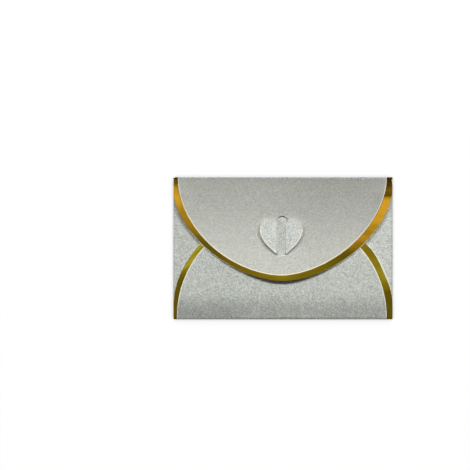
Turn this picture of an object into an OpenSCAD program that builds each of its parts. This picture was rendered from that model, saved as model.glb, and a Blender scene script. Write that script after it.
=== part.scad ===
// Gift card holder: a small envelope folded from one die-cut sheet of pearl card,
// with gold foil edges and a heart clasp that is cut from the pocket panel.
//
// Frame: the holder lies closed on its address side. X runs from the left side
// fold to the right side fold, +Y runs up to the fold that the closing flap turns
// on, +Z points up through the stack of panels. The origin is under the middle of
// the holder, on the surface that it rests on. Millimetres.

/* [Holder] */
// Width from side fold to side fold
holder_w = 108; // [100:1:120]
// Height from bottom fold to top fold
holder_h = 70; // [66:1:78]
// Thickness of the pearl card stock
stock_t = 0.30; // [0.20:0.02:0.40]
// Clear depth of the pocket, between the address panel and the side flaps
pocket_gap = 0.85; // [0.80:0.05:1.60]
// Clearance between panels that lie on each other and move
lay_gap = 0.05; // [0.03:0.01:0.10]

/* [Closing flap] */
// How far the tip of the flap reaches below the middle of the holder
flap_reach = 16.3; // [12:0.1:18]
// Fullness of the flap's curved edge, where 2 is an ellipse
flap_power = 1.75; // [1.65:0.05:2.0]
// Width of the gold rim at the tip of the flap
flap_rim = 2.9; // [2:0.1:4]
// Sideways offset of the flap's gold rim, as printed
rim_shift = -0.7; // [-1:0.1:1]

/* [Pocket panel] */
// Height of the pocket panel's curved top above the middle of the holder
pocket_top = 18.9; // [18.5:0.1:22]
// Width of the gold rim at the top of the pocket panel
pocket_rim = 2.5; // [2:0.1:3]

/* [Side flaps] */
// How far each side flap reaches in from its fold
side_depth = 31; // [24:1:38]
// Fullness of the side flaps' curved edge
side_power = 2.2; // [2:0.1:3]

/* [Heart clasp] */
// Centre line of the heart, left or right of the middle of the holder
heart_x = -0.9; // [-1:0.1:-0.7]
// Height of the widest line of the heart above the middle of the holder
heart_y = 10.2; // [9.5:0.1:10.5]
// Half the width of the heart
heart_half = 11.0; // [10.5:0.1:11.5]
// Radius of the two upper lobes
lobe_r = 4.8; // [4.6:0.1:5]
// Radius of the two lower sides
cheek_r = 13.8; // [13.5:0.1:14.2]
// Half the width of the band that stays in the pocket panel between the creases
band_half = 2.35; // [2.2:0.05:2.5]
// Width that the die takes out round each wing
kerf = 0.15; // [0.10:0.05:0.30]
// Centre line of the clasp slot in the closing flap
slot_x = -0.8; // [-0.9:0.1:-0.7]
// Half the width of the clasp slot
slot_half = 2.95; // [2.9:0.05:3.1]
// Upper end of the clasp slot
slot_top = 15.9; // [15.6:0.1:16.4]
// Lower end of the clasp slot
slot_low = -3.9; // [-4.2:0.1:-3.8]

/* [Address frame] */
// Distance of the frame line from the address panel's edges
frame_in = 5.0; // [4.5:0.1:6]
// Width of the frame line
frame_line = 1.05; // [0.8:0.05:1.4]
// Radius of the two hollow corners at the top
frame_notch = 5.5; // [4:0.1:7]

/* [Foil and glue] */
// Thickness of the gold foil, which is pressed flush into the card
foil_t = 0.04; // [0.02:0.01:0.06]
// Thickness of the glue film
glue_t = 0.05; // [0.03:0.01:0.08]
// Width of each glue seam
glue_w = 3.5; // [2:0.5:5]

/* [Hidden] */

pearl = [0.74, 0.74, 0.71];
pearl_in = [0.80, 0.80, 0.77];
gold = [0.78, 0.60, 0.16];
clear_glue = [0.86, 0.84, 0.74];

half_w = holder_w / 2;
half_h = holder_h / 2;
kx = holder_w / 108;
ky = holder_h / 70;

// Levels of the stack, each the underside of its panel
z_side = stock_t + pocket_gap;
z_pocket = z_side + stock_t + glue_t;
z_flap = z_pocket + stock_t + lay_gap;
z_wing = z_flap + stock_t + lay_gap;

// Outer radii of the four folds, which wrap from the address panel to each flap
r_side = (z_side + stock_t) / 2;
r_bottom = (z_pocket + stock_t) / 2;
r_top = (z_flap + stock_t) / 2;

// Where the flat panels end and the folds begin
x_side = half_w - r_side;
y_bottom = -half_h + r_bottom;
y_top = half_h - r_top;

// Curved edge of the closing flap and the inner edge of its gold rim
flap_a = half_w + 0.1;
flap_b = 46.0 * ky;
flap_y = -flap_reach + flap_b;
rim_a = 51.9 * kx;
rim_b = 50.2 * ky;
rim_y = -flap_reach + flap_rim + rim_b;
rim_power = flap_power + 0.08;

// Curved edge of the pocket panel and the inner edge of its gold rim
pocket_a = 53.9 * kx;
pocket_b = pocket_top + 28.9 * ky;
pocket_y = -28.9 * ky;
prim_a = 52.0 * kx;
prim_b = pocket_top - pocket_rim + 34.1 * ky;
prim_y = -34.1 * ky;

// The wings turn on creases at the band's edges, just above the pocket panel
crease_r = stock_t / 2;
z_crease = z_pocket + stock_t + crease_r + 0.01;
root_low = -0.6;
root_high = 12.2;

function pw(v, p) = sign(v) * pow(abs(v), p);
// Points round a closed oval with the given fullness
function oval(x, y, a, b, n, steps = 120) =
    [for (i = [0 : steps - 1]) let (t = 360 * i / steps)
        [x + a * pw(cos(t), 2 / n), y + b * pw(sin(t), 2 / n)]];
// Upper half of an oval, closed down to a straight base
function arch(x, y, a, b, base, steps = 72) =
    concat([for (i = [0 : steps]) let (t = 180 * i / steps) [x + a * cos(t), y + b * sin(t)]],
           [[x - a, base], [x + a, base]]);

// Half ring of card stock, r outside, with its opening towards +X, standing along Z
module half_ring(r, len) {
    linear_extrude(len, center = true) difference() {
        circle(r, $fn = 96);
        circle(r - stock_t, $fn = 96);
        translate([0, -2 * r]) square([2 * r, 4 * r]);
    }
}

// A bar with round ends between two points on one vertical line
module stadium(x, low, high, r) {
    translate([x, low + r]) circle(r, $fn = 64);
    translate([x, high - r]) circle(r, $fn = 64);
    translate([x - r, low + r]) square([2 * r, high - low - 2 * r]);
}

// Right half of the heart, with u measured from the centre line; grow widens it all round
module half_heart(grow = 0, inner = band_half) {
    intersection() {
        union() {
            intersection() {
                translate([heart_half - cheek_r, heart_y]) circle(cheek_r + grow, $fn = 160);
                translate([inner, heart_y - 2 * cheek_r]) square([2 * cheek_r, 2 * cheek_r]);
            }
            translate([heart_half - lobe_r, heart_y]) circle(lobe_r + grow, $fn = 96);
        }
        translate([inner, heart_y - 2 * cheek_r]) square([2 * cheek_r, 4 * cheek_r]);
    }
}

module flap_outline() {
    intersection() {
        polygon(oval(0, flap_y, flap_a, flap_b, flap_power, 160));
        translate([-half_w + 0.1, -half_h]) square([holder_w - 0.2, y_top + half_h]);
    }
}

module flap_rim_outline() {
    difference() {
        flap_outline();
        polygon(oval(rim_shift, rim_y, rim_a, rim_b, rim_power, 160));
    }
}

module pocket_outline() {
    polygon(arch(0, pocket_y, pocket_a, pocket_b, y_bottom));
}

module pocket_rim_outline() {
    difference() {
        pocket_outline();
        polygon(arch(rim_shift, prim_y, prim_a, prim_b, y_bottom - 1));
    }
}

// Frame seen from the flap side: square corners at the bottom, hollow corners at the top
module frame_outline(grow) {
    w = half_w - frame_in;
    h = half_h - frame_in;
    difference() {
        translate([-w - grow, -h - grow]) square([2 * (w + grow), 2 * (h + grow)]);
        for (s = [-1, 1])
            translate([s * w, h]) circle(frame_notch - grow, $fn = 64);
    }
}

module frame_line_outline() {
    difference() {
        frame_outline(frame_line / 2);
        frame_outline(-frame_line / 2);
    }
}

module address_panel() {
    color(pearl_in) difference() {
        translate([-x_side, y_bottom, 0]) cube([2 * x_side, y_top - y_bottom, stock_t]);
        translate([0, 0, -1]) linear_extrude(1 + foil_t) frame_line_outline();
    }
}

module side_fold() {
    translate([-x_side, (y_top + y_bottom) / 2, r_side])
        rotate([90, 0, 0]) half_ring(r_side, y_top - y_bottom - 0.2);
}

module left_fold() color(pearl) side_fold();

module right_fold() color(pearl) mirror([1, 0, 0]) side_fold();

module bottom_fold() {
    color(pearl) translate([0, y_bottom, r_bottom])
        rotate([90, 0, 90]) half_ring(r_bottom, 2 * pocket_a);
}

module top_fold() {
    color(pearl) translate([0, y_top, r_top])
        rotate([90, 0, -90]) half_ring(r_top, holder_w - 0.2);
}

module side_flap() {
    translate([0, 0, z_side]) linear_extrude(stock_t) intersection() {
        polygon(oval(-x_side, (y_top + y_bottom) / 2, side_depth, (y_top - y_bottom) / 2 - 0.6, side_power, 96));
        translate([-x_side, -half_h]) square([side_depth + 1, holder_h]);
    }
}

module left_side_flap() color(pearl) side_flap();

module right_side_flap() color(pearl) mirror([1, 0, 0]) side_flap();

module glue_seam() {
    translate([0, 0, z_side + stock_t]) linear_extrude(glue_t)
        stadium(-43.5 * kx, -31 * ky, -9 * ky, glue_w / 2);
}

module left_glue_seam() color(clear_glue) glue_seam();

module right_glue_seam() color(clear_glue) mirror([1, 0, 0]) glue_seam();

module pocket_panel() {
    color(pearl) translate([0, 0, z_pocket]) difference() {
        linear_extrude(stock_t) pocket_outline();
        // the two windows that the clasp wings are cut from
        for (s = [0, 1]) translate([heart_x, 0, -1]) mirror([s, 0, 0])
            linear_extrude(stock_t + 2) half_heart(kerf);
        translate([0, 0, stock_t - foil_t]) linear_extrude(1) pocket_rim_outline();
    }
}

module closing_flap() {
    color(pearl) translate([0, 0, z_flap]) difference() {
        linear_extrude(stock_t) flap_outline();
        translate([0, 0, -1]) linear_extrude(stock_t + 2)
            stadium(slot_x, slot_low, slot_top, slot_half);
        translate([0, 0, stock_t - foil_t]) linear_extrude(1) flap_rim_outline();
    }
}

// A wing lies on the closing flap; its root goes down through the slot to the crease
module clasp_wing() {
    translate([0, 0, z_wing]) linear_extrude(stock_t) half_heart();
    translate([band_half - crease_r, root_low, z_crease])
        cube([2 * crease_r, root_high - root_low, z_wing + stock_t - z_crease]);
    translate([band_half, root_low, z_crease]) rotate([-90, 0, 0])
        cylinder(h = root_high - root_low, r = crease_r, $fn = 48);
}

module clasp_wing_left() color(pearl_in) translate([heart_x, 0, 0]) mirror([1, 0, 0]) clasp_wing();

module clasp_wing_right() color(pearl_in) translate([heart_x, 0, 0]) clasp_wing();

module flap_foil_rim() {
    color(gold) translate([0, 0, z_flap + stock_t - foil_t])
        linear_extrude(foil_t) flap_rim_outline();
}

module pocket_foil_rim() {
    color(gold) translate([0, 0, z_pocket + stock_t - foil_t])
        linear_extrude(foil_t) pocket_rim_outline();
}

module address_foil_frame() {
    color(gold) linear_extrude(foil_t) frame_line_outline();
}

address_panel();
left_fold();
right_fold();
bottom_fold();
top_fold();
left_side_flap();
right_side_flap();
left_glue_seam();
right_glue_seam();
pocket_panel();
closing_flap();
clasp_wing_left();
clasp_wing_right();
flap_foil_rim();
pocket_foil_rim();
address_foil_frame();
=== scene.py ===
import math

import bmesh
import bpy
import numpy as np
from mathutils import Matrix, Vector, geometry


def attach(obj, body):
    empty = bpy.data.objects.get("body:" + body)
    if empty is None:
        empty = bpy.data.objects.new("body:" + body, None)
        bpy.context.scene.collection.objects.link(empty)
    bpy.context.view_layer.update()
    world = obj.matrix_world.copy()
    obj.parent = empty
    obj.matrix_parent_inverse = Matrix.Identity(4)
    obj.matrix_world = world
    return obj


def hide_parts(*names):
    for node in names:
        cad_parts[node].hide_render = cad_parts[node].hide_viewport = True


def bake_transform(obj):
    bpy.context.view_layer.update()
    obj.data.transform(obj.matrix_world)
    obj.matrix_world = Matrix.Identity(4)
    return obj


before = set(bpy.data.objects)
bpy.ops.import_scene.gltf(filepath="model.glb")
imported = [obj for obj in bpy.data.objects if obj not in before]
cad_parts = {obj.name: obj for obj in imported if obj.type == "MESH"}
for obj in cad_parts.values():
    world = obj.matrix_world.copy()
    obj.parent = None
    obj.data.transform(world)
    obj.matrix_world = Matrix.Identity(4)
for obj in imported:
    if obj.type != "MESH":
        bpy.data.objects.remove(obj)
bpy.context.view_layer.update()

MM = 0.001

# ---------------------------------------------------------------------------
# The stack of panels, in millimetres, as the CAD has it
# ---------------------------------------------------------------------------
T = 0.30  # card stock
TOP_SIDE, TOP_POCKET, TOP_FLAP, TOP_WING = 1.45, 1.80, 2.15, 2.50
X_SIDE, Y_BOT, Y_TOP = 53.275, -34.1, 33.925
R_SIDE, R_BOT, R_TOP = 0.725, 0.90, 1.075
EDGE = 53.9
HEART_X, HEART_Y, BAND = -0.9, 10.2, 2.35
LOBE_U, LOBE_V, LOBE_R = 6.1, 9.9, 4.5
ROOT_LOW, ROOT_HIGH = -2.75, 12.1
DIP = 0.42  # how deep the clasp pulls the sheets under the wings
ROOT_IN, ROOT_OUT = 2.00, 2.42  # where the bent root of a wing starts and ends
SLOT_X, SLOT_LOW, SLOT_TOP, SLOT_R = -0.45, -3.9, 15.9, 2.90
SLOT_ROOM = 0.29  # more room for the left wing's root


def smooth(a, b, x):
    t = np.clip((np.asarray(x, float) - a) / (b - a), 0, 1)
    return t * t * (3 - 2 * t)


def bell(x, c, w):
    return np.exp(-(((np.asarray(x, float) - c) / w) ** 2))


# ---------------------------------------------------------------------------
# How far each sheet of card bows away from its flat CAD plane
# ---------------------------------------------------------------------------
def dip(x, y):
    """The clasp pulls the sheets down a little round the heart."""
    r = np.hypot(np.asarray(x, float) - HEART_X, np.asarray(y, float) - 6.0)
    return -DIP * (1 - smooth(9.0, 22.0, r))


def dip_slope(x, y):
    h = 0.05
    return (dip(x + h, y) - dip(x - h, y)) / (2 * h), (dip(x, y + h) - dip(x, y - h)) / (2 * h)


def lift(x, y):
    """The wings pull the band between them up into the slot."""
    u = np.abs(np.asarray(x, float) - HEART_X)
    return (DIP + 0.27) * (1 - smooth(1.9, 2.8, u)) * smooth(-4.2, -1.2, y) * (1 - smooth(8.5, 16.2, y))


def bow_pocket(x, y):
    x, y = np.asarray(x, float), np.asarray(y, float)
    belly = 0.10 * bell(y, -26, 5.5) * bell(x, 1, 30)
    shade = -0.10 * bell(y, -16, 6.0) * bell(x, 0, 26) - 0.24 * bell(y, -17, 5.0) * bell(x, 0, 15)
    left = 0.10 * smooth(-45.5, -51.5, x) * bell(y, -7, 7.5)
    right = 0.10 * smooth(46.5, 53.0, x) * bell(y, -16.5, 6.0)
    return belly + shade + left + right + dip(x, y) + lift(x, y)


def bow_flap(x, y):
    x, y = np.asarray(x, float), np.asarray(y, float)
    lip = 0.44 * (1 - smooth(-17.5, 1.0, y)) * bell(x, 0, 34)
    hump = 0.10 * smooth(33.9, 27, y) * smooth(12, 24, y) * bell(x, 0, 40)
    span = smooth(33.4, 26, y) * smooth(-4, 8, y)
    left = 0.33 * smooth(-42, -53.6, x) * span
    right = 0.33 * smooth(40, 53.6, x) * span
    return lip + hump + left + right + dip(x, y)


def left_rise(x, y):
    """How steeply the flap's left side, which stands off the pocket, comes down to the fold."""
    t = np.clip((33.4 - y) / 7.4, 0, 1)
    return 0.33 * smooth(-42, -53.6, x) * 6 * t * (1 - t) / 7.4


def bow_side(x, y):
    return 0.0 * np.asarray(x, float)


# The card bends more gently than a flat stack 2.5 mm high has room for; these slopes (along X, along Y) go into the
# smooth-shading normals alone.
def lean_flap(x, y):
    x, y = np.asarray(x, float), np.asarray(y, float)
    sx, sy = dip_slope(x, y)
    return -0.8 * sx, (-0.8 * sy - 0.015 + 0.0080 * np.maximum(y, 0) + 0.001 * np.minimum(y, 0)
                       + 0.045 * smooth(-15, 20, x) + 0.03 * bell(y, -5.4, 1.8) * bell(x, HEART_X, 3.5))


def lean_flap_foil(x, y):
    x, y = np.asarray(x, float), np.asarray(y, float)
    right = smooth(-5, 15, x)
    turn = 0.034 * smooth(23.5, 28.5, y) - 0.016 * smooth(7.0, 19.0, y) + 0.002 * smooth(28.0, 32.0, y)
    turn = (turn + left_rise(x, y)) * (1 - right) + 0.115 * smooth(21.5, 31.0, y) * right
    rise = 0.008 * bell(y, 3, 8) * (1 - right) + 0.012 * bell(y, -3, 8) * right
    low = 0.006 * (1 - smooth(4, 16, y)) * (1 - 0.5 * right) - 0.034 * right * (1 - smooth(-6, -1, y))
    return 0.0 * x, 0.008 + low + 0.030 * right + (0.0040 - 0.0010 * right) * y + rise + turn


def lean_pocket(x, y):
    x, y = np.asarray(x, float), np.asarray(y, float)
    down = 0.130 + 0.080 * smooth(-10, -30, x) + 0.030 * smooth(10, 30, x)
    band = 1 - smooth(2, 4, np.abs(x - HEART_X))
    sx, sy = dip_slope(x, y)
    h = 0.02
    rx, ry = (lift(x + h, y) - lift(x - h, y)) / (2 * h), (lift(x, y + h) - lift(x, y - h)) / (2 * h)
    ry = ry + 0.10 * 2 * (y + 16) / 36 * bell(y, -16, 6.0) * bell(x, 0, 26)
    ry = ry + 0.24 * 2 * (y + 17) / 25 * bell(y, -17, 5.0) * bell(x, 0, 15)
    return -0.8 * sx - 0.9 * rx, (-0.8 * sy - 0.9 * ry + 0.026 + down * (1 - smooth(-31.5, -20.5, y))
                                  + band * (0.010 + 0.04 * bell(y, 12.5, 4.0) - 0.045 * bell(y, -1.0, 3.5)
                                            - 0.10 * bell(y, -3.0, 1.3)))


def lean_pocket_foil(x, y):
    x, y = np.asarray(x, float), np.asarray(y, float)
    side = 1 - smooth(-5, 5, x)
    up = smooth(-23, -19, y) * (1 - side) + smooth(-19, -9, y) * side
    left = side * smooth(-13, -8, y) * (1 + 0.5 * np.sin((x - y) * 1.9))
    return 0.0 * x, 0.008 - 0.085 * up - 0.045 * left - 0.035 * bell(y, -12.5, 3.5) * (1 - side)


def lean_side(x, y):
    x = np.asarray(x, float)
    return 0.0 * x, 0.060 - 0.072 * smooth(0, 10, x)


def lean_wing(x, y):
    x, y = np.asarray(x, float), np.asarray(y, float)
    return 0.0 * x, -0.105 + 0.003 * y + 0.025 * smooth(-1, 1, x)


def lean_none(x, y):
    return 0.0 * np.asarray(x, float), 0.0 * np.asarray(x, float)


def bow_wing(x, y):
    u = np.abs(np.asarray(x, float) - HEART_X)
    return -0.20 + 0.26 * smooth(2.6, 7.5, u)


# ---------------------------------------------------------------------------
# Outlines
# ---------------------------------------------------------------------------
def resample(pts, step):
    """Points a step apart along an open line, with its two ends kept."""
    pts = np.asarray(pts, float)
    seg = np.hypot(*np.diff(pts, axis=0).T)
    s = np.concatenate([[0], np.cumsum(seg)])
    n = max(1, int(round(s[-1] / step)))
    at = np.linspace(0, s[-1], n + 1)
    return np.stack([np.interp(at, s, pts[:, 0]), np.interp(at, s, pts[:, 1])], 1)


def evenly(pts, n):
    pts = np.asarray(pts, float)
    seg = np.hypot(*np.diff(pts, axis=0).T)
    s = np.concatenate([[0], np.cumsum(seg)])
    at = np.linspace(0, s[-1], n)
    return np.stack([np.interp(at, s, pts[:, 0]), np.interp(at, s, pts[:, 1])], 1)


def oval(cx, cy, a, b, n, t0, t1, steps=3000):
    t = np.linspace(t0, t1, steps)
    c, s = np.cos(t), np.sin(t)
    return np.stack([cx + a * np.sign(c) * np.abs(c) ** (2 / n),
                     cy + b * np.sign(s) * np.abs(s) ** (2 / n)], 1)


def arc(cx, cy, r, a0, a1, steps=80):
    t = np.radians(np.linspace(a0, a1, steps))
    return np.stack([cx + r * np.cos(t), cy + r * np.sin(t)], 1)


def clip_y(pts, y):
    return pts[pts[:, 1] <= y + 1e-6]


# closing flap: the free edge runs from the top left, round the tip, to the top right
flap_edge = oval(-0.2, 29.7, 54.1, 45.85, 1.75, math.pi - 0.16, 2 * math.pi + 0.16)
flap_edge[:, 0] = np.clip(flap_edge[:, 0], -EDGE, EDGE)
flap_edge = clip_y(flap_edge, Y_TOP)
flap_edge[0, 1] = flap_edge[-1, 1] = Y_TOP
FOIL_X, FOIL_Y, FOIL_B = -0.7, 33.66, 47.05  # the foil's inner line has a fuller left side
FOIL_LEFT, FOIL_RIGHT = (51.1, 1.824), (51.75, 1.747)
flap_inner = np.concatenate([[[FOIL_X - FOIL_LEFT[0], Y_TOP]],
                             oval(FOIL_X, FOIL_Y, FOIL_LEFT[0], FOIL_B, FOIL_LEFT[1], math.pi, 1.5 * math.pi)[:-1],
                             oval(FOIL_X, FOIL_Y, FOIL_RIGHT[0], FOIL_B, FOIL_RIGHT[1], 1.5 * math.pi, 2 * math.pi),
                             [[FOIL_X + FOIL_RIGHT[0], Y_TOP]]])

# pocket panel: from the bottom right, over the top, to the bottom left
PIN_X, PIN_A, PIN_B = -0.6, 51.75, 51.9
POCKET_X = 53.97
pocket_edge = np.concatenate([[[POCKET_X, Y_BOT]], oval(0, -28.9, POCKET_X, 47.8, 2, 0, math.pi),
                              [[-POCKET_X, Y_BOT]]])
pocket_inner = oval(PIN_X, Y_BOT, PIN_A, PIN_B, 2, 0, math.pi)


def beside(line, d):
    """A line moved sideways, to its left, by d."""
    t = np.gradient(line, axis=0)
    t /= np.hypot(*t.T)[:, None]
    return line + d * np.stack([-t[:, 1], t[:, 0]], 1)


def half_heart(side, grow=0.0, step=0.45):
    """Lines round one half of the heart from its lower end to its upper end, in millimetres."""
    t = np.linspace(1, 0, 120)[:, None]
    knots = np.array([(LOBE_U + LOBE_R, LOBE_V), (10.65, 4.4), (6.7, 1.05), (BAND - 0.1, -2.9)])
    cheek = ((1 - t) ** 3 * knots[0] + 3 * (1 - t) ** 2 * t * knots[1] + 3 * (1 - t) * t ** 2 * knots[2]
             + t ** 3 * knots[3])
    if grow:
        cheek = beside(cheek, -grow)
    q = LOBE_R + grow
    b = math.degrees(math.acos((BAND - LOBE_U) / q))
    line = np.concatenate([cheek[cheek[:, 0] >= BAND], arc(LOBE_U, LOBE_V, q, 0, b)[1:]])
    line = resample(line, step)
    line[0, 0] = line[-1, 0] = BAND
    return line


def heart_loop(side, grow, notch):
    """Closed outline of a wing (or its window), its root side set in or out to notch."""
    line = half_heart(side, grow)
    if grow:  # a window ends level with the wing's root
        k = int(np.argmax(line[:, 1] > ROOT_LOW + 0.05))
        start = np.interp(ROOT_LOW, line[k - 1:k + 1, 1], line[k - 1:k + 1, 0])
        line = np.concatenate([[[start, ROOT_LOW]], line[k:]])
    lo, hi = line[0, 1], line[-1, 1]
    root = [(BAND, ROOT_HIGH), (notch, ROOT_HIGH), (notch, ROOT_LOW), (BAND, ROOT_LOW)]
    parts = [(line, False),
             (np.array([(BAND, hi), root[0]]), False),
             (np.array([root[0], root[1]]), False),
             (resample([root[1], root[2]], 0.5), True),
             (np.array([root[2], root[3]]), False),
             (np.array([root[3], (line[0, 0], lo)]), False)]
    out = []
    for pts, joined in parts:
        pts = pts.copy()
        pts[:, 0] = HEART_X + side * pts[:, 0]
        out.append((pts, joined))
    if side < 0:
        out = [(p[::-1], j) for p, j in out[::-1]]
    return out


def loop_points(parts):
    """One closed loop from (line, joined) parts, and which of its points are on a joined side."""
    pts, joined = [], []
    for p, j in parts:
        for k, q in enumerate(p[:-1]):
            pts.append(q)
            joined.append(j)
    joined = np.array(joined)
    flags = joined | np.roll(joined, 1)
    return np.array(pts), flags


def inset(pts, e):
    """A closed loop moved to its left by e, one value for each point."""
    nxt, prv = np.roll(pts, -1, 0), np.roll(pts, 1, 0)
    d1, d2 = pts - prv, nxt - pts
    d1 /= np.maximum(np.hypot(*d1.T), 1e-12)[:, None]
    d2 /= np.maximum(np.hypot(*d2.T), 1e-12)[:, None]
    n1, n2 = np.stack([-d1[:, 1], d1[:, 0]], 1), np.stack([-d2[:, 1], d2[:, 0]], 1)
    m = (n1 + n2) / np.maximum(1 + (n1 * n2).sum(1), 0.5)[:, None]
    return pts + m * np.asarray(e)[:, None], m


def line_distance(p, lines):
    """Distance of each point from the nearest of some lines."""
    best = np.full(len(p), 1e9)
    for line in lines:
        a, b = line[:-1], line[1:]
        d = b - a
        l2 = np.maximum((d ** 2).sum(1), 1e-12)
        for i in range(0, len(p), 4000):
            q = p[i:i + 4000]
            t = np.clip(((q[:, None] - a) * d).sum(2) / l2, 0, 1)
            near = a + t[..., None] * d
            best[i:i + 4000] = np.minimum(best[i:i + 4000], np.sqrt(((q[:, None] - near) ** 2).sum(2)).min(1))
    return best


def inside(p, loop):
    """Which points are inside a closed loop."""
    x, y = p[:, 0], p[:, 1]
    hit = np.zeros(len(p), bool)
    for a, b in zip(loop, np.roll(loop, -1, 0)):
        if a[1] == b[1]:
            continue
        crosses = (a[1] > y) != (b[1] > y)
        at = a[0] + (y - a[1]) * (b[0] - a[0]) / (b[1] - a[1])
        hit ^= crosses & (x < at)
    return hit


def outside_oval(x, y, cx, cy, a, b, n):
    return np.abs((x - cx) / a) ** n + np.abs((y - cy) / b) ** n > 1


# ---------------------------------------------------------------------------
# Meshes
# ---------------------------------------------------------------------------
def make(name, verts, faces, normals=None, material=None, marks=None, edge=None):
    """A mesh object from millimetre points, with smooth faces, own normals and an edge attribute."""
    mesh = bpy.data.meshes.new(name)
    clean = []
    for f in faces:
        g = [v for k, v in enumerate(f) if v != f[k - 1]]
        if len(set(g)) == len(g) >= 3:
            clean.append(g)
    mesh.from_pydata([Vector(v) * MM for v in np.asarray(verts, float)], [], clean)
    mesh.validate()
    mesh.polygons.foreach_set("use_smooth", [True] * len(mesh.polygons))
    if edge is not None:
        at = mesh.attributes.new("edge", "FLOAT", "POINT")
        at.data.foreach_set("value", np.asarray(edge, np.float32))
    if normals is not None:
        mesh.normals_split_custom_set_from_vertices([Vector(n) for n in normals])
    mesh.update()
    obj = bpy.data.objects.new(name, mesh)
    bpy.context.scene.collection.objects.link(obj)
    for m in material or ():
        mesh.materials.append(m)
    if marks is not None:
        mesh.polygons.foreach_set("material_index", marks(mesh))
    return obj


def surface_normals(f, p, lean=lean_none):
    h = 0.02
    gx, gy = lean(p[:, 0], p[:, 1])
    dx = (f(p[:, 0] + h, p[:, 1]) - f(p[:, 0] - h, p[:, 1])) / (2 * h) + gx
    dy = (f(p[:, 0], p[:, 1] + h) - f(p[:, 0], p[:, 1] - h)) / (2 * h) + gy
    n = np.stack([-dx, -dy, np.ones(len(p))], 1)
    return n / np.linalg.norm(n, axis=1)[:, None]


def sheet(name, outer, top, holes=(), base=None, lines=(), dots=(), step=1.7, soft=0.045, painted_highlight_lines=(), reach=0.45,
          material=None, lean=lean_none):
    """A solid sheet of card: outline and holes with softened trimmed edges, its top at z = top(x, y); the highlight
    lines it is given get a painted cream highlight band beside them.
    """
    base = base or top
    loops = [loop_points(outer)] + [loop_points(h) for h in holes]
    flat, edges, rims = [], [], []
    for pts, joined in loops:
        e = np.where(joined, 0.0, soft(pts) if callable(soft) else soft)
        inner, m = inset(pts, e)
        start = sum(len(f) for f in flat)
        flat.append(inner)
        edges += [(start + i, start + (i + 1) % len(pts)) for i in range(len(pts))]
        rims.append((start, pts, e, m))
    solid = sum(len(f) for f in flat)
    closed = [np.concatenate([f, f[:1]]) for f in flat]
    kept = [np.concatenate(flat)]
    borders = list(closed)
    for line in lines:
        start = sum(len(k) for k in kept)
        kept.append(line)
        edges += [(start + i, start + i + 1) for i in range(len(line) - 1)]
        borders.append(line)
    for line in dots:
        ok = inside(line, flat[0])
        for h in flat[1:]:
            ok &= ~inside(line, h)
        ok &= line_distance(line, borders) > 0.12
        kept.append(line[ok])
    fixed = np.concatenate(kept)
    lo, hi = flat[0].min(0), flat[0].max(0)
    rows = np.arange(lo[1] + step / 2, hi[1], step * 0.866)
    grid = np.array([(x + (k % 2) * step / 2, y) for k, y in enumerate(rows)
                     for x in np.arange(lo[0] + step / 2, hi[0], step)])
    ok = inside(grid, flat[0])
    for h in flat[1:]:
        ok &= ~inside(grid, h)
    grid = grid[ok]
    grid = grid[line_distance(grid, borders) > 0.5 * step]
    if dots:
        near = np.concatenate(dots)
        keep = np.ones(len(grid), bool)
        for i in range(0, len(grid), 2000):
            q = grid[i:i + 2000]
            keep[i:i + 2000] = (((q[:, None] - near) ** 2).sum(2).min(1)) > (0.45 * step) ** 2
        grid = grid[keep]
    points = np.concatenate([fixed, grid])
    vs, _, tris, orig, _, _ = geometry.delaunay_2d_cdt([Vector(p) for p in points], edges, [], 0, 1e-6)
    p2 = np.array([(v.x, v.y) for v in vs])
    where = {}
    for k, src in enumerate(orig):
        for s in src:
            where[s] = k
    tri = np.array(tris)
    mid = p2[tri].mean(1)
    keep = inside(mid, flat[0])
    for h in flat[1:]:
        keep &= ~inside(mid, h)
    tri = tri[keep]
    area = np.cross(p2[tri[:, 1]] - p2[tri[:, 0]], p2[tri[:, 2]] - p2[tri[:, 0]])
    tri[area < 0] = tri[area < 0][:, ::-1]
    tri = tri[np.abs(area) > 1e-9]
    n = len(p2)
    zt, zb = top(p2[:, 0], p2[:, 1]), base(p2[:, 0], p2[:, 1]) - T
    verts = np.concatenate([np.column_stack([p2, zt]), np.column_stack([p2, zb])])
    nt, nb = surface_normals(top, p2, lean), -surface_normals(base, p2)
    normals = [*nt, *nb]
    verts = [*verts]
    faces = [list(t) for t in tri] + [[t[0] + n, t[2] + n, t[1] + n] for t in tri]
    cut_edge_and_painted_highlight = [0.0] * (2 * n)
    for start, pts, e, m in rims:
        it = [where[start + i] for i in range(len(pts))]
        ot, ob = [], []
        for i, q in enumerate(pts):
            if e[i] == 0:
                ot.append(it[i])
                ob.append(it[i] + n)
                continue
            z1 = float(top(q[0], q[1])) - e[i]
            z0 = float(base(q[0], q[1])) - T + e[i]
            out = np.array([-m[i, 0], -m[i, 1], 0.0])
            out /= max(np.linalg.norm(out), 1e-9)
            ot.append(len(verts))
            verts.append(np.array([q[0], q[1], z1]))
            normals.append(out)
            ob.append(len(verts))
            verts.append(np.array([q[0], q[1], z0]))
            normals.append(out)
            cut_edge_and_painted_highlight += [1.0, 1.0]
        for i in range(len(pts)):
            j = (i + 1) % len(pts)
            faces.append([ot[i], ot[j], it[j], it[i]])
            faces.append([ob[i], ob[j], ot[j], ot[i]])
            faces.append([it[i] + n, it[j] + n, ob[j], ob[i]])
    cut_edge_and_painted_highlight = np.array(cut_edge_and_painted_highlight)
    # Painted highlight: the edge attribute rises towards 1 near the highlight lines and fades out over reach; the
    # card material paints this cream.
    if painted_highlight_lines:
        d = line_distance(p2, painted_highlight_lines)
        g = 1 - smooth(0.25 * reach, reach, d)
        cut_edge_and_painted_highlight[:n] = np.maximum(cut_edge_and_painted_highlight[:n], g)
    return make(name, np.array(verts), faces, normals, material, edge=cut_edge_and_painted_highlight)


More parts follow.
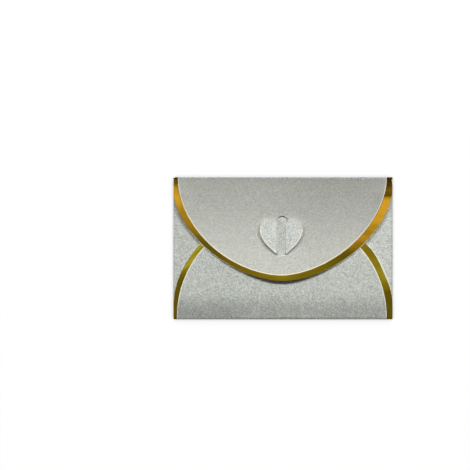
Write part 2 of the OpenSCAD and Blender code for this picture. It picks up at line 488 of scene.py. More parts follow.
def film(name, a, b, top, n, across, thick=0.02, material=None, margin=lambda x, y: 0.045, lean=lean_none):
    """Foil between two lines that run side by side: top(x, y) is the foil's own top, margin the card left bare."""
    a, b = evenly(a, n), evenly(b, n)
    w = np.maximum(np.hypot(*(b - a).T), 1e-6)
    v = np.asarray(across, float)
    grid = []
    for i in range(n):
        bare = min(float(margin(*a[i])) / w[i], 0.5)
        t = bare + (1 - bare) * v
        grid.append(a[i] + (b[i] - a[i]) * t[:, None])
    p = np.concatenate(grid)
    k = len(v)
    z = top(p[:, 0], p[:, 1])
    verts = np.concatenate([np.column_stack([p, z]), np.column_stack([p, z - thick])])
    nt = surface_normals(top, p, lean)
    m = n * k
    faces = []
    for i in range(n - 1):
        for j in range(k - 1):
            q = [i * k + j, (i + 1) * k + j, (i + 1) * k + j + 1, i * k + j + 1]
            faces += [q, [c + m for c in q[::-1]]]
        for j in (0, k - 1):
            q = [i * k + j, (i + 1) * k + j]
            faces.append([q[0], q[0] + m, q[1] + m, q[1]] if j == 0 else [q[1], q[1] + m, q[0] + m, q[0]])
    for i in (0, n - 1):
        for j in range(k - 1):
            q = [i * k + j, i * k + j + 1]
            faces.append([q[1], q[1] + m, q[0] + m, q[0]] if i == 0 else [q[0], q[0] + m, q[1] + m, q[1]])
    obj = make(name, verts, faces, None, material, edge=np.zeros(2 * m))
    tidy(obj)
    obj.data.normals_split_custom_set_from_vertices([Vector(q) for q in [*nt, *(-nt)]])
    return obj


def tidy(obj):
    bm = bmesh.new()
    bm.from_mesh(obj.data)
    bmesh.ops.recalc_face_normals(bm, faces=bm.faces)
    bm.to_mesh(obj.data)
    bm.free()


PRESSED = 4.5  # a fold pressed flat has a squarer profile than a circle


def bend(rad, q):
    """Point and direction of a pressed fold's profile at angle q."""
    c, s = math.cos(q), math.sin(q)
    a, b = abs(c) ** (2 / PRESSED), math.copysign(abs(s) ** (2 / PRESSED), s)
    na, nb = a ** (PRESSED - 1), math.copysign(abs(b) ** (PRESSED - 1), b)
    ln = math.hypot(na, nb)
    return rad * a, rad * b, na / ln, nb / ln


def fold(name, along, c, side, zc, r, lo, hi, a0=-90.0, a1=90.0, arcs=24, step=3.0, material=None, marks=None,
         cuts=(), slope=0.0, drop=0.0):
    """Part of a rounded fold: card bent round a line at (c, zc) that runs along X or Y from lo to hi."""
    phi = np.radians(np.linspace(a0, a1, arcs + 1))
    ends = np.array(sorted(set(np.round(np.concatenate([np.linspace(lo, hi, max(2, int((hi - lo) / step))), cuts]), 6))))
    verts, normals, edge = [], [], []
    for s in ends:
        for rad, sign, angles in ((r, 1, phi), (r - T, -1, phi[::-1])):
            for q in angles:
                a, b, na, nb = bend(rad, q)
                across, z = c + side * a, zc + b
                up = float(smooth(0.15, 0.6, nb)) if slope else 0.0
                na, nb = na * (1 - up) - slope * up, nb * (1 - up) + up
                ln = math.hypot(na, nb)
                n = (side * sign * na / ln, sign * nb / ln)
                verts.append((across, s, z) if along == "Y" else (s, across, z))
                tip = -drop * up * sign if along == "Y" else 0.0
                normals.append((n[0], tip, n[1]) if along == "Y" else (tip, n[0], n[1]))
                edge.append(1.0 if s in (ends[0], ends[-1]) else 0.0)
    k = 2 * (arcs + 1)
    faces = []
    for i in range(len(ends) - 1):
        for j in range(k):
            q = (j + 1) % k
            faces.append([i * k + j, i * k + q, (i + 1) * k + q, (i + 1) * k + j])
    for i in (0, len(ends) - 1):
        for j in range(arcs):
            faces.append([i * k + j, i * k + j + 1, i * k + k - 2 - j, i * k + k - 1 - j])
    obj = make(name, verts, faces, None, material, marks=marks, edge=edge)
    tidy(obj)
    obj.data.normals_split_custom_set_from_vertices([Vector(q) for q in normals])
    return obj


# ---------------------------------------------------------------------------
# Materials
# ---------------------------------------------------------------------------
class Graph:
    """Short hand for a node tree."""

    def __init__(self, tree):
        self.tree = tree
        tree.nodes.clear()

    def add(self, kind, **values):
        node = self.tree.nodes.new(kind)
        for key, value in values.items():
            if key.startswith("_"):
                setattr(node, key[1:], value)
        for key, value in values.items():
            if not key.startswith("_"):
                socket = node.inputs[int(key[1:]) if key[0] == "i" and key[1:].isdigit() else key.replace("__", " ")]
                if isinstance(value, bpy.types.NodeSocket):
                    self.tree.links.new(value, socket)
                else:
                    socket.default_value = value
        return node

    def math(self, op, a, b=0.0, clamp=False):
        return self.add("ShaderNodeMath", _operation=op, _use_clamp=clamp, i0=a, i1=b).outputs[0]

    def spread(self, value, lo, hi, out_lo, out_hi, kind="LINEAR"):
        node = self.add("ShaderNodeMapRange", _interpolation_type=kind, _clamp=True)
        for name, v in (("Value", value), ("From Min", lo), ("From Max", hi), ("To Min", out_lo), ("To Max", out_hi)):
            if isinstance(v, bpy.types.NodeSocket):
                self.tree.links.new(v, node.inputs[name])
            else:
                node.inputs[name].default_value = v
        return node.outputs["Result"]

    def mix(self, factor, a, b):
        node = self.add("ShaderNodeMix", _data_type="RGBA")
        for k, v in ((0, factor), (6, a), (7, b)):
            if isinstance(v, bpy.types.NodeSocket):
                self.tree.links.new(v, node.inputs[k])
            else:
                node.inputs[k].default_value = v
        return node.outputs[2]


def rgb(r, g, b):
    """Linear colour from screen values 0 to 255."""
    def lin(c):
        c /= 255
        return c / 12.92 if c <= 0.04045 else ((c + 0.055) / 1.055) ** 2.4
    return (lin(r), lin(g), lin(b), 1.0)


def material(name):
    m = bpy.data.materials.new(name)
    m.use_nodes = True
    g = Graph(m.node_tree)
    out = g.add("ShaderNodeOutputMaterial")
    return m, g, out


def pearl_card(name, light, dark, grain=1.0, clouded=1.0, rough=(0.58, 0.74)):
    """Silver-white pearl card: fine mica flakes in the coating, soft mottling, paler at its trimmed edges, and a
    painted cream highlight along marked lines beside the foil and some free edges.
    """
    m, g, out = material(name)
    place = g.add("ShaderNodeTexCoord").outputs["Object"]
    flakes = g.add("ShaderNodeTexVoronoi", _feature="F1", Vector=place, Scale=2300.0)
    flake = g.add("ShaderNodeSeparateColor", Color=flakes.outputs["Color"]).outputs[0]
    specks = g.add("ShaderNodeTexNoise", Vector=place, Scale=1900.0, Detail=3.0, Roughness=0.65).outputs["Fac"]
    clouds = g.add("ShaderNodeTexNoise", Vector=place, Scale=420.0, Detail=2.0, Roughness=0.5).outputs["Fac"]
    drift = g.add("ShaderNodeTexNoise", Vector=place, Scale=45.0, Detail=1.0, Roughness=0.5).outputs["Fac"]
    tone = g.math("ADD", g.math("MULTIPLY", flake, 0.40 * grain), g.math("MULTIPLY", specks, 1.20 * grain))
    tone = g.math("ADD", tone, g.math("MULTIPLY", clouds, 0.40 * grain * clouded))
    tone = g.math("ADD", tone, g.math("MULTIPLY", drift, 0.20 * grain * clouded))
    mid = (0.20 + 0.60 + 0.20 * clouded + 0.10 * clouded) * grain
    tone = g.spread(tone, mid - 0.30, mid + 0.30, 0.0, 1.0)
    colour = g.mix(tone, dark, light)
    tint = g.add("ShaderNodeTexNoise", Vector=place, Scale=700.0, Detail=1.0).outputs["Fac"]
    colour = g.mix(g.spread(tint, 0.35, 0.65, 0.0, 0.16), colour, rgb(190, 205, 222))
    # Cream from the edge attribute: the paler core of trimmed card edges, plus painted highlight lines beside the
    # foil and along some free edges.
    cut_edge_and_painted_highlight = g.add("ShaderNodeAttribute", _attribute_name="edge").outputs["Fac"]
    colour = g.mix(g.math("MULTIPLY", cut_edge_and_painted_highlight, 0.95), colour, rgb(255, 251, 232))
    roughness = g.spread(flake, 0.0, 1.0, rough[0], rough[1])
    height = g.math("ADD", g.math("MULTIPLY", specks, 0.7), g.math("MULTIPLY", flake, 0.3))
    bump = g.add("ShaderNodeBump", Strength=0.55, Distance=0.00004, Height=height)
    shader = g.add("ShaderNodeBsdfPrincipled", Base__Color=colour, Roughness=roughness, Normal=bump.outputs[0])
    shader.inputs["Metallic"].default_value = 0.06
    shader.inputs["Specular IOR Level"].default_value = 0.25
    g.tree.links.new(shader.outputs[0], out.inputs["Surface"])
    return m


def gold_foil(name):
    """Hot-stamped metallised film: a mirror with fine wrinkles, warm gold with an olive cast."""
    m, g, out = material(name)
    place = g.add("ShaderNodeTexCoord").outputs["Object"]
    cast = g.add("ShaderNodeTexNoise", Vector=place, Scale=60.0, Detail=2.0).outputs["Fac"]
    colour = g.mix(g.spread(cast, 0.35, 0.65, 0.0, 1.0), rgb(234, 204, 50), rgb(228, 208, 56))
    grit = g.add("ShaderNodeTexNoise", Vector=place, Scale=2600.0, Detail=2.0).outputs["Fac"]
    colour = g.mix(g.spread(grit, 0.60, 0.80, 0.0, 0.25), colour, rgb(176, 146, 50))
    roughness = g.spread(grit, 0.3, 0.7, 0.07, 0.13)
    swell = g.add("ShaderNodeTexNoise", Vector=place, Scale=110.0, Detail=1.0).outputs["Fac"]
    crinkle = g.add("ShaderNodeTexNoise", Vector=place, Scale=1100.0, Detail=3.0, Roughness=0.6).outputs["Fac"]
    first = g.add("ShaderNodeBump", Strength=1.0, Distance=0.00012, Height=swell)
    second = g.add("ShaderNodeBump", Strength=1.0, Distance=0.000005, Height=crinkle, Normal=first.outputs[0])
    shader = g.add("ShaderNodeBsdfPrincipled", Base__Color=colour, Roughness=roughness, Normal=second.outputs[0])
    shader.inputs["Metallic"].default_value = 1.0
    g.tree.links.new(shader.outputs[0], out.inputs["Surface"])
    return m


def dried_glue(name):
    m, g, out = material(name)
    place = g.add("ShaderNodeTexCoord").outputs["Object"]
    n = g.add("ShaderNodeTexNoise", Vector=place, Scale=500.0, Detail=3.0).outputs["Fac"]
    colour = g.mix(n, rgb(214, 206, 178), rgb(236, 232, 214))
    bump = g.add("ShaderNodeBump", Strength=0.6, Distance=0.00008, Height=n)
    shader = g.add("ShaderNodeBsdfPrincipled", Base__Color=colour, Roughness=g.spread(n, 0.3, 0.7, 0.22, 0.4),
                   Normal=bump.outputs[0])
    shader.inputs["Transmission Weight"].default_value = 0.25
    g.tree.links.new(shader.outputs[0], out.inputs["Surface"])
    return m


PEARL = pearl_card("pearl_card", rgb(232, 236, 231), rgb(164, 168, 161), clouded=0.6)
PEARL_SMOOTH = pearl_card("pearl_card_smooth", rgb(225, 227, 220), rgb(178, 179, 170), grain=0.84, clouded=0.4)
PEARL_WING = pearl_card("pearl_card_wing", rgb(228, 232, 228), rgb(167, 171, 166), grain=1.0, clouded=0.5)
GOLD = gold_foil("gold_foil")
GLUE = dried_glue("dried_glue")


# ---------------------------------------------------------------------------
# Pieces
# ---------------------------------------------------------------------------
def place(obj, body, *nodes, slot="pearl_card"):
    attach(obj, body)
    if nodes:
        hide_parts(*nodes)
    return obj


def poly(*pts, step=1.5):
    return resample(np.array(pts, float), step)


# address side -----------------------------------------------------------------
FRAME_W, FRAME_H, LINE, NOTCH = 49.0, 30.0, 1.05, 5.5


def frame_loop(g):
    """Closed outline of the frame, grown by g: square lower corners, hollow upper ones."""
    w, h, r = FRAME_W + g, FRAME_H + g, NOTCH - g
    k = math.sqrt(max(r * r - g * g, 0))
    a = math.degrees(math.asin(g / r))
    x, y = FRAME_W, FRAME_H
    right = arc(x, y, r, 270 + a, 180 - a, 28)
    left = arc(-x, y, r, 0 + a, -90 - a, 28)
    segs = [poly((-w, -h), (w, -h)), poly((w, -h), (w, y - k)), right, poly((x - k, h), (-x + k, h)), left,
            poly((-w, y - k), (-w, -h))]
    return segs


def address_relief(x, y):
    """Extra relief of the address side: zero everywhere; the foil line's pressed depth is in frame_depth."""
    return 0.0 * np.asarray(x, float)


def upside_down(obj):
    """Mirrors a mesh that was made facing up, so that it faces down."""
    bm = bmesh.new()
    bm.from_mesh(obj.data)
    for v in bm.verts:
        v.co.z = -v.co.z
    bmesh.ops.reverse_faces(bm, faces=bm.faces)
    bm.to_mesh(obj.data)
    bm.free()


frame_out, frame_in = frame_loop(LINE / 2), frame_loop(-LINE / 2)


def frame_depth(x, y):
    """Depth of the pressed line below the face, from its distance to the line's middle."""
    p = np.stack([np.ravel(x), np.ravel(y)], 1).astype(float)
    mid = np.concatenate(frame_loop(0.0))
    d = line_distance(p, [mid])
    return (-0.045 * smooth(LINE / 2 + 0.02, LINE / 2 - 0.14, d)).reshape(np.shape(x))


def address_top(x, y):
    return 0.0 + frame_depth(x, y)


def address_base(x, y):
    return 0.0 * np.asarray(x, float)


panel = [(poly((-X_SIDE, Y_BOT), (X_SIDE, Y_BOT)), True), (poly((X_SIDE, Y_BOT), (X_SIDE, Y_TOP)), True),
         (poly((X_SIDE, Y_TOP), (-X_SIDE, Y_TOP)), True), (poly((-X_SIDE, Y_TOP), (-X_SIDE, Y_BOT)), True)]
ring_out = [np.concatenate([*[s[:-1] for s in frame_out], frame_out[0][:1]])]
ring_in = [np.concatenate([*[s[:-1] for s in frame_in], frame_in[0][:1]])]
pressed = [np.concatenate([*[s[:-1] for s in frame_loop(g)], frame_loop(g)[0][:1]])
           for g in (LINE / 2 - 0.16, 0.16 - LINE / 2)]
halo_out = [np.concatenate(frame_loop(LINE / 2 + 0.45))]
halo_in = [np.concatenate(frame_loop(-LINE / 2 - 0.45))]
# The gold frame line gets a painted cream highlight on both sides.
address = sheet("address_side", panel, address_top, base=address_base, lines=ring_out + ring_in + pressed,
                dots=halo_out + halo_in, painted_highlight_lines=ring_out + ring_in, step=2.2, material=[PEARL])
upside_down(address)
address.data.normals_split_custom_set_from_vertices(
    [Vector((0, 0, -1)) if v.co.z < 0.00015 else Vector((0, 0, 1)) for v in address.data.vertices])
place(address, "envelope", "address_panel")

a_line, b_line = ring_out[0], ring_in[0]


def frame_film(name):
    """The gold line as one closed loop of film, pressed into the face."""
    segs_a, segs_b, segs_m = frame_out, frame_in, frame_loop(0.0)
    across = np.array([0.0, 0.07, 0.14, 0.5, 0.86, 0.93, 1.0])
    rows = []
    for sa, sb in zip(segs_a, segs_b):
        n = max(len(sa), len(sb), 12)
        ea, eb = evenly(sa, n), evenly(sb, n)
        for i in range(n - 1):
            rows.append(ea[i] + (eb[i] - ea[i]) * across[:, None])
    p = np.concatenate(rows)
    k, n = len(across), len(rows)
    z = frame_depth(p[:, 0], p[:, 1]) * 0.6
    nt = surface_normals(lambda x, y: frame_depth(x, y) * 0.6, p)
    verts = np.concatenate([np.column_stack([p, -z]), np.column_stack([p, -z + 0.025])])
    faces = []
    m = n * k
    for i in range(n):
        j = (i + 1) % n
        for q in range(k - 1):
            c = [i * k + q, j * k + q, j * k + q + 1, i * k + q + 1]
            faces += [c, [v + m for v in c[::-1]]]
        faces.append([i * k, i * k + m, j * k + m, j * k])
        faces.append([i * k + k - 1, j * k + k - 1, j * k + k - 1 + m, i * k + k - 1 + m])
    obj = make(name, verts, faces, None, [GOLD], edge=np.zeros(2 * m))
    tidy(obj)
    down = nt * np.array([1, 1, -1])
    obj.data.normals_split_custom_set_from_vertices([Vector(v) for v in [*down, *(-down)]])
    return obj


place(frame_film("address_gold_line"), "envelope", "address_foil_frame", slot="gold_foil")

# folds ------------------------------------------------------------------------
for name, side in (("left", -1), ("right", 1)):
    obj = fold(f"{name}_edge_fold", "Y", side * X_SIDE, side, R_SIDE, R_SIDE, -34.0, 33.825, material=[PEARL],
               slope=-0.02, drop=0.12)
    place(obj, "envelope", f"{name}_fold")


def rim_marks(y_fold, r, lo, hi):
    """Marks a fold's upper outer face as foil beyond the points where a foil rim reaches it."""
    def marks(mesh):
        out = []
        for f in mesh.polygons:
            c = f.center / MM
            rad = (abs(c.y - y_fold) ** PRESSED + abs(c.z - r) ** PRESSED) ** (1 / PRESSED)
            out.append(1 if c.z > r and rad > r - 0.08 and (c.x < lo or c.x > hi) else 0)
        return out
    return marks


low_left, low_right = float(pocket_inner[-1, 0]), float(pocket_inner[0, 0])
bottom = fold("bottom_edge_fold", "X", Y_BOT, -1, R_BOT, R_BOT, -EDGE, EDGE, material=[PEARL, GOLD],
              marks=rim_marks(Y_BOT, R_BOT, low_left, low_right), cuts=(low_left, low_right), slope=-0.3)
place(bottom, "envelope", "bottom_fold")

# side flaps ---------------------------------------------------------------------
cy, b = (Y_TOP + Y_BOT) / 2, (Y_TOP - Y_BOT) / 2 - 0.6
for name, side in (("left", -1), ("right", 1)):
    curve = oval(-X_SIDE, cy, 31.0, b, 2.2, -math.pi / 2, math.pi / 2)
    curve = resample(curve, 0.8)
    curve[0, 0] = curve[-1, 0] = -X_SIDE
    hinge = resample([curve[-1], curve[0]], 1.5)
    parts = [(curve, False), (hinge, True)]
    if side > 0:
        parts = [(p[::-1] * [-1, 1], j) for p, j in parts[::-1]]
    # Painted cream highlight along each side flap's free curved edge.
    obj = sheet(f"{name}_inner_flap", parts, lambda x, y: TOP_SIDE + bow_side(x, y), step=2.2, material=[PEARL],
                painted_highlight_lines=[parts[0][0] if side < 0 else parts[1][0]], lean=lean_side)
    place(obj, "envelope", f"{name}_side_flap")

# pocket panel ---------------------------------------------------------------------
def pocket_line_distance(x, y):
    p = np.stack([np.ravel(x), np.ravel(y)], 1).astype(float)
    d = line_distance(p, [POCKET_INNER])
    s = np.where(outside_oval(p[:, 0], p[:, 1], PIN_X, Y_BOT, PIN_A, PIN_B, 2), d, -d)
    return s.reshape(np.shape(x))


def flap_line_distance(x, y):
    p = np.stack([np.ravel(x), np.ravel(y)], 1).astype(float)
    d = line_distance(p, [FLAP_INNER])
    half, n = (np.where(p[:, 0] < FOIL_X, l, r) for l, r in zip(FOIL_LEFT, FOIL_RIGHT))
    s = np.where(outside_oval(p[:, 0], np.minimum(p[:, 1], FOIL_Y), FOIL_X, FOIL_Y, half, FOIL_B, n), d, -d)
    return s.reshape(np.shape(x))


POCKET_INNER, FLAP_INNER = resample(pocket_inner, 0.8), resample(flap_inner, 0.8)


def knotted(y, *xs):
    """A straight side along X that has a point at each x given."""
    return np.concatenate([poly((a, y), (b, y))[:-1] for a, b in zip(xs, xs[1:])] + [[[xs[-1], y]]])


def pocket_base(x, y):
    return TOP_POCKET + bow_pocket(x, y)


def pocket_top(x, y):
    return pocket_base(x, y) - 0.07 * smooth(0.0, 0.18, pocket_line_distance(x, y))


def pocket_foil_top(x, y):
    return pocket_base(x, y) + 0.004 - 0.042 * smooth(0.0, 0.22, pocket_line_distance(x, y))


def flap_base(x, y):
    return TOP_FLAP + bow_flap(x, y)


def flap_top(x, y):
    return flap_base(x, y) - 0.07 * smooth(0.0, 0.18, flap_line_distance(x, y))


def flap_foil_top(x, y):
    return flap_base(x, y) + 0.004 - 0.042 * smooth(0.0, 0.22, flap_line_distance(x, y))


def trim(line, end):
    """Leaves out the first and last bit of an open line, so that it stops short of the outline."""
    d0 = np.hypot(*(line - line[0]).T)
    d1 = np.hypot(*(line - line[-1]).T)
    return line[(d0 > end) & (d1 > end)]


windows = []
for side in (1, -1):
    loop = heart_loop(side, 0.15, ROOT_IN)
    windows.append([(p[::-1], j) for p, j in loop[::-1]])
sides = pocket_edge[1:-1]
band_dots = np.array([(HEART_X + u, v) for v in np.arange(-6.0, 17.6, 0.6) for u in np.arange(-3.6, 3.7, 0.45)])
parts = [(poly((POCKET_X, Y_BOT), (POCKET_X, -28.9)), False), (resample(sides, 0.8), False),
         (poly((-POCKET_X, -28.9), (-POCKET_X, Y_BOT)), False),
         (knotted(Y_BOT, -POCKET_X, low_left - 0.2, low_left, low_left + 0.4, low_right - 0.4, low_right,
                  low_right + 0.2, POCKET_X), True)]
# Painted cream highlight beside the foil line and along the outer edge of the right side near y = -12.
pocket = sheet("pocket_front", parts, pocket_top, holes=windows, base=pocket_base,
               lines=[POCKET_INNER, trim(beside(POCKET_INNER, -0.18), 0.3)],
               dots=[beside(POCKET_INNER, 0.22), beside(POCKET_INNER, 0.45), beside(POCKET_INNER, 0.75), band_dots],
               painted_highlight_lines=[POCKET_INNER, sides[(sides[:, 0] > 0) & (np.abs(sides[:, 1] + 12) < 10)]], reach=0.72,
               material=[PEARL], lean=lean_pocket)
place(pocket, "envelope", "pocket_panel")

across = [0.0, 0.25, 0.5, 0.75, 0.88, 0.94, 0.97, 1.0]
edge_line = np.concatenate([[[POCKET_X, Y_BOT]], resample(sides, 0.5), [[-POCKET_X, Y_BOT]]])
rim = film("pocket_gold_rim", edge_line, pocket_inner, pocket_foil_top, 300, across, material=[GOLD],
           margin=lambda x, y: 0.02 + 0.05 * smooth(-28, -20, y) + (0.75 * bell(y, -12, 6.5) if x > 0
                                                                    else 0.2 * bell(y, -7, 8)),
           lean=lean_pocket_foil)
place(rim, "envelope", "pocket_foil_rim", slot="gold_foil")

# closing flap ---------------------------------------------------------------------
low_arc = arc(0, 0, 1, 180, 360, 60)
corner = np.where(low_arc[:, 0] < 0, 0.4, 1.0)  # squarer and wider where the left wing stands up through it
low_arc = np.stack([np.sign(low_arc[:, 0]) * np.abs(low_arc[:, 0]) ** corner,
                    np.sign(low_arc[:, 1]) * np.abs(low_arc[:, 1]) ** corner], 1)
low_arc[:, 0] *= np.where(low_arc[:, 0] < 0, SLOT_R + SLOT_ROOM, SLOT_R) / SLOT_R
slot_loop = np.concatenate([np.array([SLOT_X, SLOT_LOW + SLOT_R]) + SLOT_R * low_arc,
                            arc(SLOT_X, SLOT_TOP - SLOT_R, SLOT_R, 0, 180, 30),
                            [[SLOT_X - SLOT_R - SLOT_ROOM, ROOT_HIGH + 0.25]]])
slot_loop = resample(np.concatenate([slot_loop, slot_loop[:1]]), 0.45)
slot_hole = [(slot_loop[::-1], False)]
free = resample(flap_edge, 0.8)
x_left, x_right = float(flap_inner[0, 0]), float(flap_inner[-1, 0])
parts = [(free, False), (knotted(Y_TOP, free[-1][0], x_right + 0.2, x_right, x_right - 0.4, x_left + 0.4, x_left,
                                 x_left - 0.2, free[0][0]), True)]
# Painted cream highlight beside the foil line and along the lower part of the free edge.
flap = sheet("front_flap", parts, flap_top, holes=[slot_hole], base=flap_base,
             lines=[FLAP_INNER, trim(beside(FLAP_INNER, -0.18), 0.3)],
             dots=[beside(FLAP_INNER, 0.22), beside(FLAP_INNER, 0.45), beside(FLAP_INNER, 0.75)],
             painted_highlight_lines=[FLAP_INNER, free[np.abs(free[:, 0]) < 46]], reach=0.72, material=[PEARL_SMOOTH], lean=lean_flap)
place(flap, "flap", "closing_flap")
rim = film("flap_gold_rim", flap_edge, flap_inner, flap_foil_top, 420, across, material=[GOLD],
           margin=lambda x, y: 0.05 + 0.15 * smooth(8, 34, abs(x)) * (1 - smooth(44, 52, abs(x))),
           lean=lean_flap_foil)
place(rim, "flap", "flap_foil_rim", slot="gold_foil")

# The fold that the flap turns on, in four bands


def unsmooth(w):
    """The share of a blend's way at which its smooth weight is w."""
    return 0.5 - math.sin(math.asin(1 - 2 * w) / 3)


BANDS = 4
for k in range(BANDS):
    a0, a1 = -90 + 180 * k / BANDS, -90 + 180 * (k + 1) / BANDS
    piece = fold(f"top_fold_band_{k + 1}", "X", Y_TOP, 1, R_TOP, R_TOP, -EDGE, EDGE, a0, a1, arcs=8,
                 material=[PEARL, GOLD], marks=rim_marks(Y_TOP, R_TOP, x_left, x_right), cuts=(x_left, x_right),
                 slope=0.25)
    b0, b1 = bend(R_TOP, math.radians(a0)), bend(R_TOP, math.radians(a1))
    p0 = Vector((0, Y_TOP + b0[0], R_TOP + b0[1])) * MM
    p1 = Vector((0, Y_TOP + b1[0], R_TOP + b1[1])) * MM
    t0, t1 = unsmooth(k / BANDS), unsmooth((k + 1) / BANDS)
    way = (p1 - p0) / (t1 - t0)
    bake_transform(piece)
    if k == 0:
        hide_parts("top_fold")

# clasp wings ---------------------------------------------------------------------
def wing_top(x, y):
    return TOP_WING + bow_wing(x, y)


for name, side in (("left", -1), ("right", 1)):
    loop = heart_loop(side, 0.0, ROOT_OUT)
    pts = np.concatenate([p for p, _ in loop])
    center = pts.mean(0)
    rim_line = half_heart(side)
    rim_line = np.stack([HEART_X + side * rim_line[:, 0], rim_line[:, 1]], 1)
    closer = beside(rim_line, 0.4 * side)
    # Painted cream highlight just inside the lower rim of each wing, beside its shadow.
    wing = sheet(f"{name}_heart_wing", loop, wing_top, dots=[closer], step=0.9, painted_highlight_lines=[rim_line[rim_line[:, 1] < 9]],
                 reach=0.5, soft=lambda q: 0.045 - 0.03 * smooth(8, 12, q[:, 1]), material=[PEARL_WING],
                 lean=lean_wing)
    place(wing, f"wing_{name}", f"clasp_wing_{name}")

    s = np.linspace(0, 1, 15)
    ease = s * s * (3 - 2 * s)
    slope_u = 6 * s * (1 - s)
    ys = np.linspace(ROOT_LOW, ROOT_HIGH, 20)
    verts, normals, edge = [], [], []
    for y in ys:
        u = ROOT_IN + (ROOT_OUT - ROOT_IN) * s
        x = HEART_X + side * u
        low = TOP_POCKET - T / 2 + bow_pocket(x, y * np.ones_like(x))
        high = TOP_WING - T / 2 + bow_wing(x, y * np.ones_like(x))
        z = low + (high - low) * ease
        dz = np.gradient(z, s) / (ROOT_OUT - ROOT_IN)
        ln = np.sqrt(1 + dz ** 2)
        nu, nz = -dz / ln, 1 / ln
        nu[0] = nu[-1] = 0.0
        nz[0] = nz[-1] = 1.0
        for sign, order in ((1, range(len(s))), (-1, range(len(s) - 1, -1, -1))):
            for k in order:
                verts.append((x[k] + sign * side * nu[k] * T / 2, y, z[k] + sign * nz[k] * T / 2))
                edge.append(0.0)
    k = 2 * len(s)
    faces = []
    for i in range(len(ys) - 1):
        for j in range(k):
            q = (j + 1) % k
            faces.append([i * k + j, i * k + q, (i + 1) * k + q, (i + 1) * k + j])
    for i in (0, len(ys) - 1):
        for j in range(len(s) - 1):
            faces.append([i * k + j, i * k + j + 1, i * k + k - 2 - j, i * k + k - 1 - j])
    root = make(f"{name}_wing_root", verts, faces, None, [PEARL_WING], edge=edge)
    tidy(root)
    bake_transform(root)

# glue seams keep their CAD shape ---------------------------------------------------
for n in ("left_glue_seam", "right_glue_seam"):
    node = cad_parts[n]
    node.data.materials.clear()
    node.data.materials.append(GLUE)

# ---------------------------------------------------------------------------
# Floor, light and camera
# ---------------------------------------------------------------------------
scene = bpy.context.scene
scene.view_settings.view_transform = "Standard"

m, g, out = material("floor")
place_ = g.add("ShaderNodeTexCoord").outputs["Object"]
cloud = g.add("ShaderNodeTexNoise", Vector=place_, Scale=30.0, Detail=2.0).outputs["Fac"]
tone = g.mix(cloud, (0.045, 0.045, 0.045, 1), (0.05, 0.05, 0.05, 1))
matt = g.add("ShaderNodeBsdfDiffuse", Color=tone)
contact = g.add("ShaderNodeAmbientOcclusion", _samples=8, Distance=0.003).outputs["AO"]
glow_tone = g.mix(g.spread(contact, 0.50, 0.86, 0.0, 1.0), (0.70, 0.70, 0.70, 1), (1.0, 1.0, 1.0, 1))
glowing = g.add("ShaderNodeEmission", Color=glow_tone, Strength=0.965)
both = g.add("ShaderNodeAddShader", i0=matt.outputs[0], i1=glowing.outputs[0])
clear = g.add("ShaderNodeBsdfTransparent")
back = g.add("ShaderNodeNewGeometry").outputs["Backfacing"]
ray = g.add("ShaderNodeLightPath")
see = g.math("SUBTRACT", 1.0, g.math("MULTIPLY", ray.outputs["Is Camera Ray"], g.math("SUBTRACT", 1.0, back)))
mixed = g.add("ShaderNodeMixShader", i0=see, i1=both.outputs[0], i2=clear.outputs[0])
g.tree.links.new(mixed.outputs[0], out.inputs["Surface"])
mesh = bpy.data.meshes.new("floor")
s = 1.6
mesh.from_pydata([(-s, -s, -0.00006), (s, -s, -0.00006), (s, s, -0.00006), (-s, s, -0.00006)], [], [(0, 1, 2, 3)])
mesh.materials.append(m)
floor = bpy.data.objects.new("floor", mesh)
scene.collection.objects.link(floor)

world = bpy.data.worlds.new("studio")
scene.world = world
world.use_nodes = True
g = Graph(world.node_tree)
out = g.add("ShaderNodeOutputWorld")
way = g.add("ShaderNodeTexCoord").outputs["Generated"]
xyz = g.add("ShaderNodeSeparateXYZ", Vector=way)
wx, wy, wz = xyz.outputs[0], xyz.outputs[1], xyz.outputs[2]
high = g.math("ABSOLUTE", wz)
glossy = g.add("ShaderNodeLightPath").outputs["Is Glossy Ray"]
sky = g.mix(g.spread(wy, -0.15, 0.80, 0.0, 1.0, "SMOOTHSTEP"), (0.010, 0.011, 0.014, 1), (0.18, 0.20, 0.24, 1))
top = g.mix(g.spread(wy, -0.02, 0.13, 0.0, 1.0), (0.125, 0.115, 0.08, 1), (0.25, 0.22, 0.12, 1))
top = g.mix(g.spread(wy, 0.12, 0.30, 0.0, 1.0, "SMOOTHSTEP"), top, (0.52, 0.56, 0.66, 1))
aisle = g.spread(g.math("ABSOLUTE", wx), 0.32, 0.18, 0.0, 1.0, "SMOOTHSTEP")
near = g.spread(high, math.cos(math.radians(26)), math.cos(math.radians(16)), 0.0, 1.0, "SMOOTHSTEP")
sky = g.mix(g.math("MULTIPLY", near, aisle), sky, top)
past = g.math("MULTIPLY", g.spread(wy, -0.24, -0.30, 0.0, 1.0, "SMOOTHSTEP"), g.spread(high, 0.86, 0.92, 0.0, 1.0))
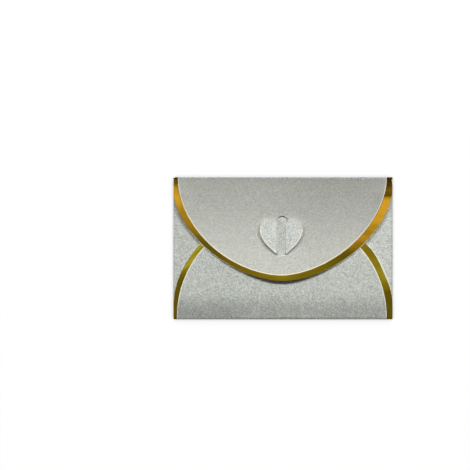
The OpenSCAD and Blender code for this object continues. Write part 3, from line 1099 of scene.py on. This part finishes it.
sky = g.mix(g.math("MULTIPLY", past, aisle), sky, (0.08, 0.055, 0.04, 1))
off = g.math("ABSOLUTE", g.math("ADD", wy, math.sin(math.radians(11.0))))
bar = g.math("MULTIPLY", g.spread(off, 0.12, 0.02, 0.0, 1.0, "SMOOTHSTEP"), g.spread(high, 0.80, 0.90, 0.0, 1.0))
sky = g.mix(g.math("MULTIPLY", bar, aisle), sky, (0.82, 0.56, 0.55, 1))
walls = g.math("MULTIPLY", glossy, g.spread(high, 0.86, 0.72, 0.0, 1.0, "SMOOTHSTEP"))
sky = g.mix(walls, sky, (0.36, 0.36, 0.35, 1))  # pale walls, for the foil seen from the sides
bg = g.add("ShaderNodeBackground", Color=sky, Strength=1.0)
g.tree.links.new(bg.outputs[0], out.inputs["Surface"])


def soft_box(name, at, to, size, power, colour=(1, 1, 1), glossy=True):
    light = bpy.data.lights.new(name, "AREA")
    light.shape = "RECTANGLE"
    light.size, light.size_y = size
    light.energy = power
    light.color = colour
    obj = bpy.data.objects.new(name, light)
    scene.collection.objects.link(obj)
    obj.location = at
    obj.rotation_mode = "QUATERNION"
    obj.rotation_quaternion = (Vector(to) - Vector(at)).to_track_quat("-Z", "Y")
    obj.visible_camera = False
    obj.visible_glossy = glossy
    return obj


for around, up, power in ((-40, 0.285, 2.37), (0, 0.37, 2.55), (40, 0.285, 3.35)):
    q = math.radians(around)
    soft_box("key", (0.60 * math.sin(q), 0.60 * math.cos(q), up), (0, 0, 0), (0.15, 0.05), power, (1.0, 0.985, 0.93))
soft_box("under", (0.10, -0.16, -0.93), (0, 0, 0), (0.6, 0.4), 9.0, glossy=False)

LENS, SENSOR, SPAN = 200.0, 36.0, 0.2314
cam_data = bpy.data.cameras.new("camera")
cam_data.lens = LENS
cam_data.sensor_width = SENSOR
cam_data.clip_start, cam_data.clip_end = 0.05, 10.0
camera = bpy.data.objects.new("camera", cam_data)
scene.collection.objects.link(camera)
camera.location = (-0.02366, 0.00654, 0.0022 + SPAN * LENS / SENSOR)
scene.camera = camera
